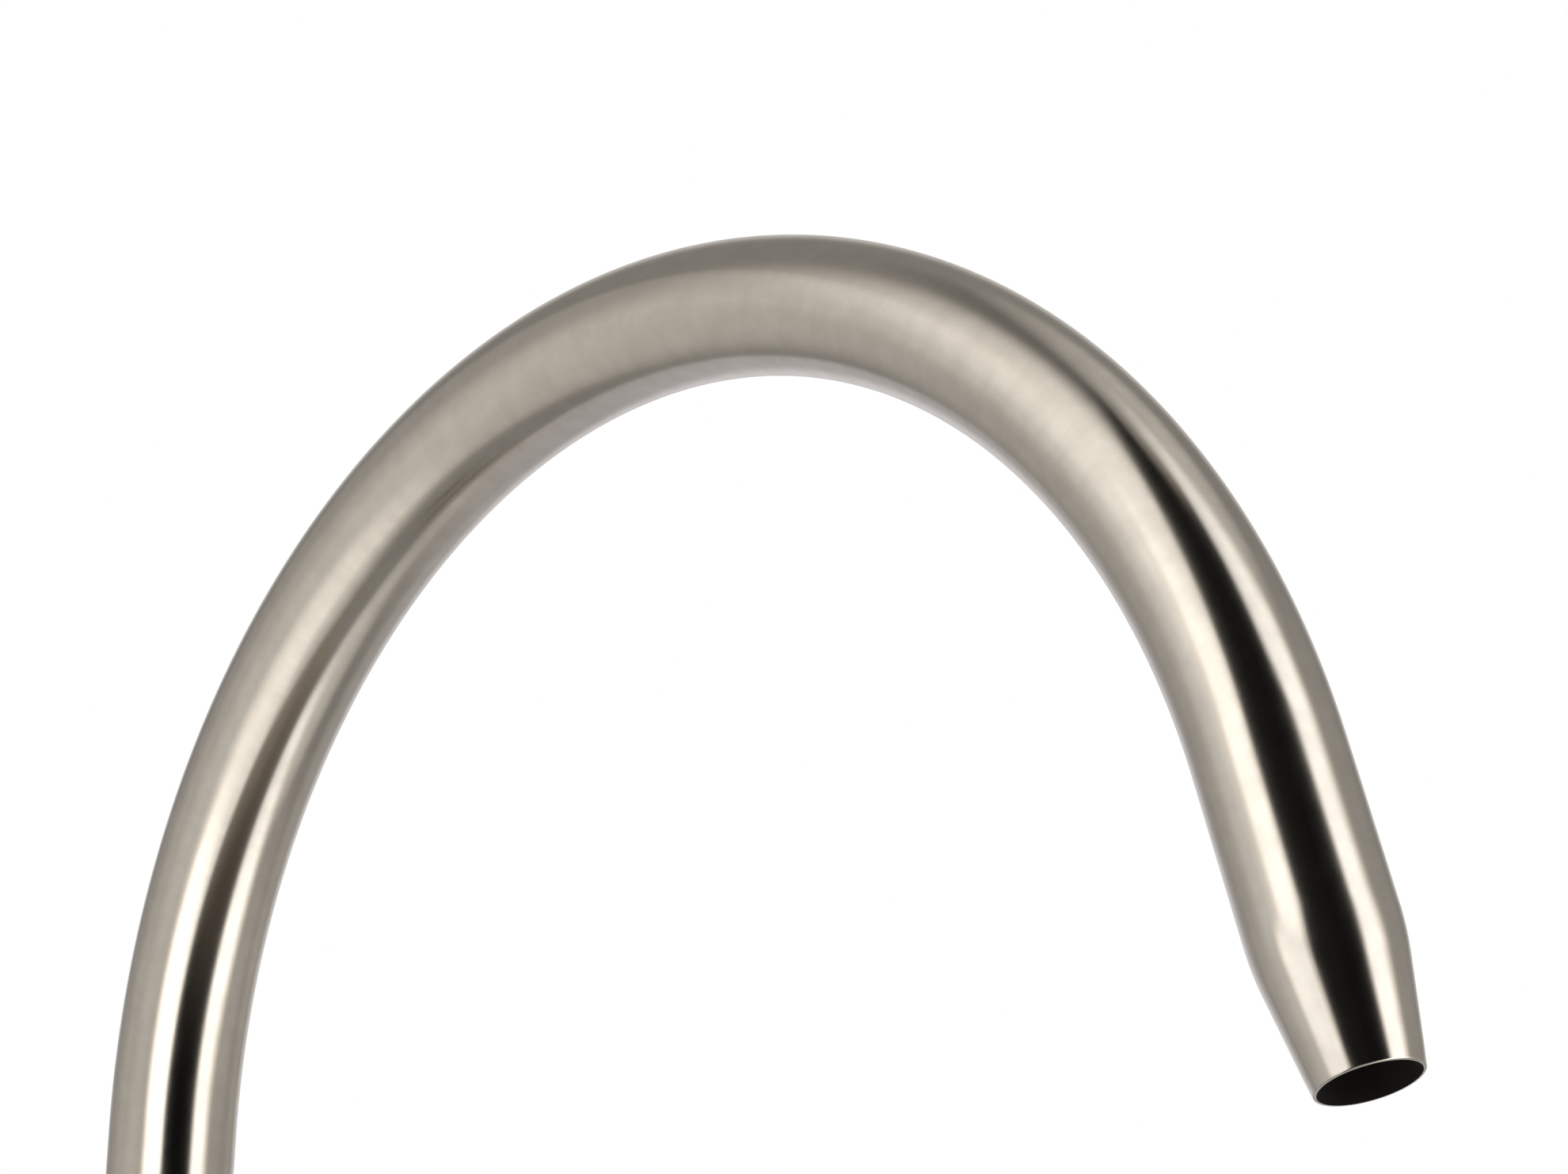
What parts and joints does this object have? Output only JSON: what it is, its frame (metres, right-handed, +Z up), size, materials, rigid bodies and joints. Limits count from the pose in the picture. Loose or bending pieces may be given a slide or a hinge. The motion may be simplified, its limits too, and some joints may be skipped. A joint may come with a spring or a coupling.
{
  "type": "water purifier faucet",
  "caption": "Slim gooseneck faucet for filtered water: swivelling bent spout, side lever with a quarter-turn ceramic valve, threaded shank with a worktop clamp and push-fit inlet.",
  "frame": {"origin": "on the shank's axis at the worktop's upper face, which is the underside of the base gasket", "axes": "+Z up along the riser, +X towards the spout's mouth, -Y towards the lever"},
  "size_m": [0.1491, 0.0738, 0.3546],
  "materials": {
    "brushed_nickel": "satin nickel with a fine brushed grain",
    "brass": "machined",
    "plated_steel": "bright zinc plate",
    "black_rubber": "matte moulded",
    "ceramic": "lapped ceramic",
    "white_plastic": "moulded acetal",
    "grey_plastic": "moulded acetal"
  },
  "bodies": {
    "tap_body": {"valve_body": "brushed_nickel", "collar_nut": "brushed_nickel", "spout_bush": "grey_plastic", "spout_bearing_washer": "grey_plastic", "base_flange": "brushed_nickel", "base_gasket": "black_rubber", "threaded_shank": "plated_steel", "shank_seal_washer": "black_rubber", "cartridge_housing": "brass", "housing_o_ring": "black_rubber", "cartridge_seal": "black_rubber", "fixed_ceramic_disc": "ceramic", "adapter_body": "white_plastic", "adapter_gasket": "black_rubber", "adapter_o_ring": "black_rubber", "grip_ring": "plated_steel", "adapter_cap": "white_plastic"},
    "spout": {"spout_tube": "brushed_nickel", "spout_ferrule": "brass", "spout_o_rings": "black_rubber"},
    "lever": {"handle_hub": "brushed_nickel", "lever_rod": "brushed_nickel", "handle_set_screw": "plated_steel", "screw_plug": "grey_plastic", "valve_stem": "brass", "stem_clip": "plated_steel", "stem_o_ring": "black_rubber", "moving_ceramic_disc": "ceramic"},
    "collet": {"release_collet": "grey_plastic"},
    "deck_clamp": {"clamp_rubber_washer": "black_rubber", "clamp_plate": "plated_steel", "toothed_lock_washer": "plated_steel", "mounting_nut": "plated_steel"}
  },
  "joints": [
    {"name": "spout_swivel", "type": "hinge", "parent": "tap_body", "child": "spout", "pos_m": [0, 0, 0.0856], "axis": [0, 0, 1], "continuous": true},
    {"name": "lever_turn", "type": "hinge", "parent": "tap_body", "child": "lever", "pos_m": [0, -0.04075, 0.0336], "axis": [0, 1, 0], "range_deg": [0, 90]},
    {"name": "collet_press", "type": "slide", "parent": "tap_body", "child": "collet", "axis": [0, 0, 1], "range_m": [0, 0.0015]},
    {"name": "clamp_travel", "type": "slide", "parent": "tap_body", "child": "deck_clamp", "axis": [0, 0, 1], "range_m": [-0.009, 0.02]}
  ]
}
